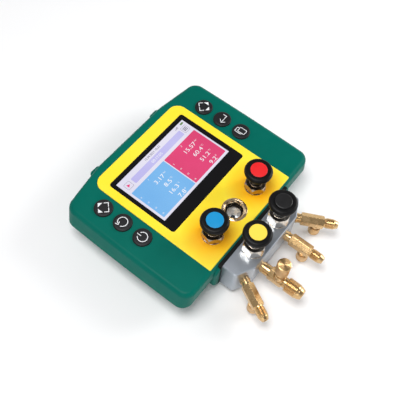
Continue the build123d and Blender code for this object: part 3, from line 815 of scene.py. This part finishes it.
def knobs():
    for v, (x, y, z0) in VALVES.items():
        kb = BONNET_TOP[z0] + 0.7
        p = [(4.02, 0), (6.4, 0), (6.8, 0.35), (6.8, 11.5), (7.5, 12.9), (9.1, 14.25), (12.5, 15.75), (14.1, 17.1), (14.4, 17.9),
             (14.4, 19.3), (14.0, 20.3), (13.1, 21.45), (12.3, 21.85), (11.2, 22.0), (8.85, 22.0), (8.65, 21.8), (8.65, 21.15),
             (0, 21.15)]
        p = soften(p, [0, .2, .2, 1.2, 1.2, 1.2, 1.0, .6, .4, .4, .6, .5, .4, .3, .1, .1, .05, 0], 4)
        p = p + [(0, 16.05), (4.02, 16.05), (4.02, 0)]
        b = Build()
        b.add(*lathe(p, 128), M=at(x, y, kb))
        o = b.make(f"knob_{v}_grip", [MAT["knob_plastic"]], sharp=35)
        piece(o, f"valve_{v}", "black_plastic", f"knob_{v}")
        if v == "black":
            q = soften([(0, 21.2), (8.55, 21.2), (8.55, 22.7), (7.9, 23.0), (0, 23.0)], [0, .05, .5, .3, 0], 4)
        else:
            q = soften([(0, 21.2), (8.55, 21.2), (8.55, 22.1), (8.3, 22.22), (0, 22.25)], [0, .05, .2, .1, 0], 4)
        d = Build()
        d.add(*lathe(q, 96), M=at(x, y, kb))
        o = d.make(f"knob_disc_{v}_insert", [MAT[f"disc_{v}"]], sharp=35)
        piece(o, f"valve_{v}", f"disc_{v}", f"knob_disc_{v}")


# ----------------------------------------------------------------- sight glass
def sight():
    M = at(0, -59.5, 0)
    p = [(9.1, 34.0), (10.8, 34.0), (10.8, 49.9), (13.1, 50.0), (13.4, 50.25), (13.4, 50.75), (13.1, 51.1), (12.2, 51.3),
         (11.75, 51.3), (11.55, 51.0), (11.3, 51.0), (11.1, 51.25), (10.75, 51.25), (9.35, 50.1), (9.1, 49.6)]
    b = Build()
    b.add(*lathe(soften(p, 0.12, 3, closed=True), 128, closed=True), M=M)
    o = b.make("sight_bezel_turned", [MAT["nickel_gold"]], sharp=25)
    piece(o, "housing", "nickel", "sight_bezel")


# ----------------------------------------------------------------------- ports
def union(name, parts, mats, sharp):
    """Joins closed parts into one closed surface."""
    objs = [b.make(f"{name}_{i}", mats, sharp=sharp) for i, b in enumerate(parts)]
    base = objs[0]
    for other in objs[1:]:
        mod = base.modifiers.new("u", "BOOLEAN")
        mod.operation, mod.solver, mod.object = "UNION", "EXACT", other
    dg = bpy.context.evaluated_depsgraph_get()
    me = bpy.data.meshes.new_from_object(base.evaluated_get(dg), depsgraph=dg)
    for o in objs:
        bpy.data.objects.remove(o)
    me.name = name
    bm = bmesh.new()
    bm.from_mesh(me)
    bmesh.ops.remove_doubles(bm, verts=bm.verts, dist=4e-6)
    bmesh.ops.dissolve_degenerate(bm, edges=bm.edges, dist=1e-6)
    bm.to_mesh(me)
    bm.free()
    me.shade_smooth()
    me.set_sharp_from_angle(angle=math.radians(sharp))
    o = bpy.data.objects.new(name, me)
    bpy.context.scene.collection.objects.link(o)
    return o


def ring_rows(seq):
    return [("c", r, z) for r, z in seq]


def straight_port(name):
    F = port_frame(name)
    M = F @ OUT
    af, turn = 12.0, math.pi / 2
    k = 0.35
    rows = [("c", 2.2, -5.0), ("c", 4.7, -5.0), ("c", 5.0, -4.7), ("c", 5.0, 0.9), ("c", 5.45, 1.0), ("c", 5.55, 1.15),
            ("c", 5.55, 2.6), ("c", 5.4, 2.8), ("c", 5.0, 2.85), ("c", 5.0, 6.3), ("c", 5.15, 6.6), ("m", 5.9, 6.6),
            ("ht", 6.05, 0.75, 6.66), ("ht", 6.05, -0.75, 30.94), ("m", 5.9, 31.0), ("c", 5.0, 31.0), ("c", 4.9, 31.1),
            ("c", 4.75, 32.5), ("c", 2.6, 32.5), ("c", 2.6, 30.0), ("c", 2.2, 29.5), ("c", 2.2, -5.0)]
    # the thread and nose go on as circles
    b = Build()
    b.add(*hex_turned(rows, af, 0.3, turn, flat=10), M=M)
    t0, t1 = 32.5, 41.9
    seg = 6 * 15
    b2 = Build()
    tv, tf = thread_band(5.55, t0, t1, 1.27, 0.5, seg=seg)
    b2.add(tv, tf, M=M)
    nose = soften([(5.05, t1), (4.85, 42.9), (4.55, 43.5), (3.9, 45.0), (3.5, 45.75), (2.9, 46.0), (2.45, 45.9), (2.2, 45.4)],
                  [0, .2, .4, .6, .3, .2, .2, 0], 4)
    b2.add(*lathe(nose + [(2.2, 33.5), (2.2, 31.6), (4.83 - 0.6, 31.6), (5.05, t0)], seg), M=M)
    stub = [(0, -3.2), (6.3, -3.2), (6.3, -5.1), (6.0, -6.4), (5.5, -7.6), (5.4, -8.8), (5.0, -8.8), (5.0, -9.4), (4.85, -9.6)]
    b3 = Build()
    T = F @ Matrix.Translation((0, -T_STUB, 0))
    body = soften(stub, [0, .1, .5, .6, .4, .1, .1, .1, 0], 3)
    end = [(4.35, -9.7), (4.35, -10.0)]
    sv, sf = thread_band(5.0, -18.3, -9.7, 1.27, 0.6, seg=72)
    b3.add(sv, sf, M=T)
    b3.add(*lathe(body[:-1] + [(4.85, -9.55), (4.4, -9.7)], 72), M=T)
    b3.add(*lathe([(4.4, -18.3), (4.2, -18.5), (4.0, -18.6), (1.8, -18.6), (1.8, -13.0), (0, -13.0)], 72), M=T)
    o = union(f"port_{name}_turned", [b, b2, b3], [MAT["brass"]], 22)
    return piece(o, "housing", "brass", f"port_{name}")


def tee_port():
    F = port_frame("tee")
    M = F @ OUT
    af, turn = 13.0, math.pi / 2
    rows = [("c", 2.2, -5.0), ("c", 4.7, -5.0), ("c", 5.0, -4.7), ("c", 5.0, 1.4), ("c", 5.85, 1.4), ("c", 6.0, 1.6),
            ("c", 6.0, 3.3), ("c", 5.6, 3.5), ("c", 5.6, 4.1), ("c", 6.0, 4.3), ("c", 6.0, 10.6), ("c", 6.1, 10.8), ("m", 6.35, 10.8),
            ("ht", 6.5, 0.6, 10.86), ("ht", 6.5, -0.6, 27.54), ("m", 6.35, 27.6), ("c", 5.7, 27.6), ("c", 5.6, 27.7),
            ("c", 5.6, 30.6), ("c", 6.2, 30.9), ("c", 6.9, 31.05), ("c", 2.8, 31.05), ("c", 2.8, 26.0), ("c", 2.2, 25.5),
            ("c", 2.2, -5.0)]
    b = Build()
    b.add(*hex_turned(rows, af, 0.3, turn, flat=12), M=M)
    t0, t1 = 31.0, 44.3
    seg = 6 * 17
    b2 = Build()
    depth = 0.55
    tv, tf = thread_band(7.94, t0, t1, 1.411, depth, seg=seg, lead_in=0.9, lead_out=1.2)
    b2.add(tv, tf, M=M)
    rm = 7.94 - depth
    nose = soften([(rm, t1), (6.95, 45.3), (6.9, 46.4), (6.2, 48.2), (5.3, 50.0), (4.6, 50.3), (3.6, 50.25), (2.8, 49.4)],
                  [0, .2, .6, .8, .5, .3, .3, 0], 4)
    b2.add(*lathe(nose + [(2.8, 33.0), (2.8, t0), (rm, t0)], seg), M=M)
    T = F @ Matrix.Translation((0, -T_TEE, 0))
    b3 = Build()
    stub = soften([(0, 3.0), (6.3, 3.0), (6.3, 6.2), (6.0, 8.4), (5.9, 11.0), (4.8, 11.1), (4.6, 11.4), (4.6, 17.2), (4.8, 17.4)],
                  [0, .1, .5, .6, .3, .1, .1, .1, 0], 3)
    b3.add(*lathe(stub, 72), M=T)
    sv, sf = thread_band(5.4, 17.4, 31.6, 1.27, 0.6, seg=72)
    b3.add(sv, sf, M=T)
    b3.add(*lathe([(4.8, 31.6), (4.5, 31.9), (4.2, 32.0), (2.2, 32.0), (2.2, 24.0), (0, 24.0)], 72), M=T)
    o = union("port_tee_turned", [b, b2, b3], [MAT["brass"]], 22)
    return piece(o, "housing", "brass", "port_tee")


def caps():
    for name in ("left", "centre", "right"):
        T = port_frame(name) @ Matrix.Translation((0, -T_STUB, 0))
        p = [(0, -22.0), (4.2, -22.0), (5.1, -21.75), (6.05, -20.7), (6.25, -20.2), (6.25, -19.6), (5.95, -19.3), (5.95, -18.9),
             (6.25, -18.6), (6.25, -10.6), (5.95, -10.3), (5.95, -10.0), (6.1, -9.8), (6.0, -9.4), (5.06, -9.4), (5.06, -20.0), (0, -20.0)]
        p = soften(p, [0, .3, .5, .4, .15, .1, .1, .1, .1, .1, .1, .1, .1, .1, .1, .1, 0], 3)
        def wave(i, a, r, z):
            if r > 6.2 and -18.55 < z < -10.65:
                return r - 0.16 * (0.5 + 0.5 * math.cos(40 * a))
            return r
        q = []
        for a, b2 in zip(p, p[1:]):
            q.append(a)
            if abs(a[0] - 6.25) < 1e-3 and abs(b2[0] - 6.25) < 1e-3 and abs(a[1] - b2[1]) > 4:
                lo, hi = sorted((a[1], b2[1]))
                ys = [hi - 0.05, hi - 0.3, lo + 0.3, lo + 0.05] if a[1] > b2[1] else [lo + 0.05, lo + 0.3, hi - 0.3, hi - 0.05]
                q += [(6.25, yy) for yy in ys]
        q.append(p[-1])
        b = Build()
        b.add(*lathe(q, 320, wave=wave), M=T)
        o = b.make(f"port_cap_{name}_turned", [MAT["brass_cap"]], sharp=28)
        piece(o, f"port_cap_{name}", "brass", f"port_cap_{name}")
    T = port_frame("tee") @ Matrix.Translation((0, -T_TEE, 0))
    top = [(0, 34.80)]
    r = 0.5
    while r < 5.9:                                     # turning marks on the end face
        top += [(r, 34.80), (r + 0.28, 34.95), (r + 0.56, 34.80)]
        r += 0.58
    p = top + [(6.1, 35.0), (6.7, 34.75), (7.1, 34.2), (7.1, 33.2), (6.75, 32.9), (6.75, 32.3), (7.1, 32.0), (7.1, 20.4), (6.75, 20.1),
               (6.75, 19.5), (7.1, 19.2), (7.1, 18.2), (6.8, 17.7), (6.5, 17.6), (5.46, 17.6), (5.46, 33.4), (0, 33.4)]
    q = []
    for a, b2 in zip(p, p[1:]):
        q.append(a)
        if abs(a[0] - 7.1) < 1e-3 and abs(b2[0] - 7.1) < 1e-3 and a[1] - b2[1] > 8:
            q += [(7.1, a[1] - 0.08), (7.1, a[1] - 0.4), (7.1, b2[1] + 0.4), (7.1, b2[1] + 0.08)]
    q.append(p[-1])
    def wave2(i, a, r, z):
        if r > 7.05 and 20.4 < z < 31.95:
            return r - 0.2 * (0.5 + 0.5 * math.cos(44 * a))
        return r
    b = Build()
    b.add(*lathe(q, 352, wave=wave2), M=T)
    o = b.make("port_cap_tee_turned", [MAT["brass_cap"]], sharp=28)
    piece(o, "port_cap_tee", "brass", "port_cap_tee")


cover_glass()
screen()
buttons()
bonnets()
knobs()
sight()
for n in ("left", "centre", "right"):
    straight_port(n)
tee_port()
caps()


# ----------------------------------------------------------------------- stage
def stage():
    n, s = 24, 3.2
    verts = [((i / n - 0.5) * 2 * s, (j / n - 0.5) * 2 * s, -0.0003) for j in range(n + 1) for i in range(n + 1)]
    faces = [[j * (n + 1) + i, j * (n + 1) + i + 1, (j + 1) * (n + 1) + i + 1, (j + 1) * (n + 1) + i] for j in range(n) for i in range(n)]
    me = bpy.data.meshes.new("floor")
    me.from_pydata(verts, [], faces)
    o = bpy.data.objects.new("floor", me)
    bpy.context.scene.collection.objects.link(o)
    m = Mat("floor_paper", (0.93, 0.93, 0.93), 0.75, 0.0, Specular_IOR_Level=0.2)
    m.colour(m.ramp(m.noise(3.0, 3), [(0.3, (0.95, 0.95, 0.95)), (0.7, (0.96, 0.96, 0.96))]))
    me.materials.append(m.m)


def area(name, loc, target, size, power, colour=(1, 1, 1), size_y=None):
    li = bpy.data.lights.new(name, "AREA")
    li.energy = power
    li.color = colour
    if size_y:
        li.shape, li.size, li.size_y = "RECTANGLE", size, size_y
    else:
        li.shape, li.size = "SQUARE", size
    o = bpy.data.objects.new(name, li)
    o.location = loc
    d = Vector(target) - Vector(loc)
    o.rotation_mode = "QUATERNION"
    o.rotation_quaternion = d.to_track_quat("-Z", "Y")
    bpy.context.scene.collection.objects.link(o)
    return o


def light():
    w = bpy.data.worlds.new("studio")
    bpy.context.scene.world = w
    w.use_nodes = True
    t = w.node_tree
    bg = t.nodes["Background"]
    co = t.nodes.new("ShaderNodeTexCoord")
    sep = t.nodes.new("ShaderNodeSeparateXYZ")
    ramp = t.nodes.new("ShaderNodeValToRGB")
    t.links.new(co.outputs["Generated"], sep.inputs[0])
    t.links.new(sep.outputs["Z"], ramp.inputs["Fac"])
    t.links.new(ramp.outputs["Color"], bg.inputs["Color"])
    e = ramp.color_ramp.elements
    e[0].position, e[0].color = 0.0, (0.95, 0.95, 0.95, 1)
    e[1].position, e[1].color = 0.75, (0.16, 0.16, 0.17, 1)
    bg.inputs["Strength"].default_value = 1.15
    area("overhead", (-0.25, 0.05, 1.25), (0, -0.02, 0.03), 0.55, 10.0)
    area("key_right", (1.05, -0.75, 0.75), (0, -0.03, 0.03), 0.6, 9.5)
    area("fill_left", (-1.1, -0.5, 0.6), (0, -0.03, 0.03), 0.7, 1.8)


def camera():
    az, el, roll = math.radians(-56.9), math.radians(61.11), math.radians(5.63)
    target = Vector((-13.11, -25.73, 50.0)) * K
    back = Vector((math.sin(az) * math.cos(el), -math.cos(az) * math.cos(el), math.sin(el)))
    fwd = -back
    right = fwd.cross(Vector((0, 0, 1))).normalized()
    up = right.cross(fwd)
    c, s = math.cos(roll), math.sin(roll)
    cx, cy = c * right + s * up, -s * right + c * up
    cam = bpy.data.cameras.new("camera")
    cam.lens, cam.sensor_width, cam.sensor_fit = 56.06, 36.0, "HORIZONTAL"
    cam.clip_start, cam.clip_end = 0.01, 20
    o = bpy.data.objects.new("camera", cam)
    m = Matrix((cx, cy, back)).transposed().to_4x4()
    m.translation = target + back * 0.63248
    o.matrix_world = m
    bpy.context.scene.collection.objects.link(o)
    bpy.context.scene.camera = o


stage()
light()
camera()
vs = bpy.context.scene.view_settings
vs.view_transform = "Standard"
vs.look = "None"
vs.exposure, vs.gamma = 0.0, 1.0

bpy.context.view_layer.update()
